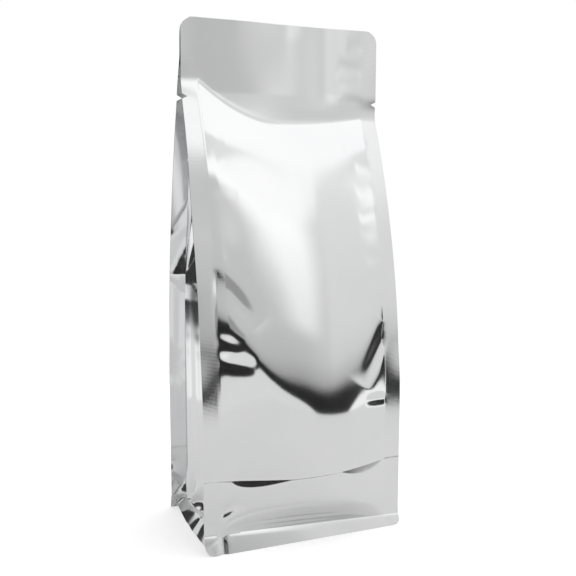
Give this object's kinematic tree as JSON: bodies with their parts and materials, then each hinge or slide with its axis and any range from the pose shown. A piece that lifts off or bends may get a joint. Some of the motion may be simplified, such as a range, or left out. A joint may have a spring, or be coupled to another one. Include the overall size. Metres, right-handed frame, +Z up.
{
  "type": "flat-bottom bag",
  "caption": "Tall shut flat-bottom bag of bright silver film, filled and standing, with side gussets, upright seal fins, a flat header with tear notches and a flared foot.",
  "frame": {"origin": "on the surface that the bag stands on, under the middle of its box", "axes": "+Z up towards the header, +X across the front towards the viewer's right, -Y out of the front panel"},
  "size_m": [0.14, 0.107, 0.34],
  "materials": {
    "foil": "bright metallised plastic film, near mirror, with faint wrinkles"
  },
  "bodies": {
    "root": {"bag": "foil"}
  },
  "joints": []
}
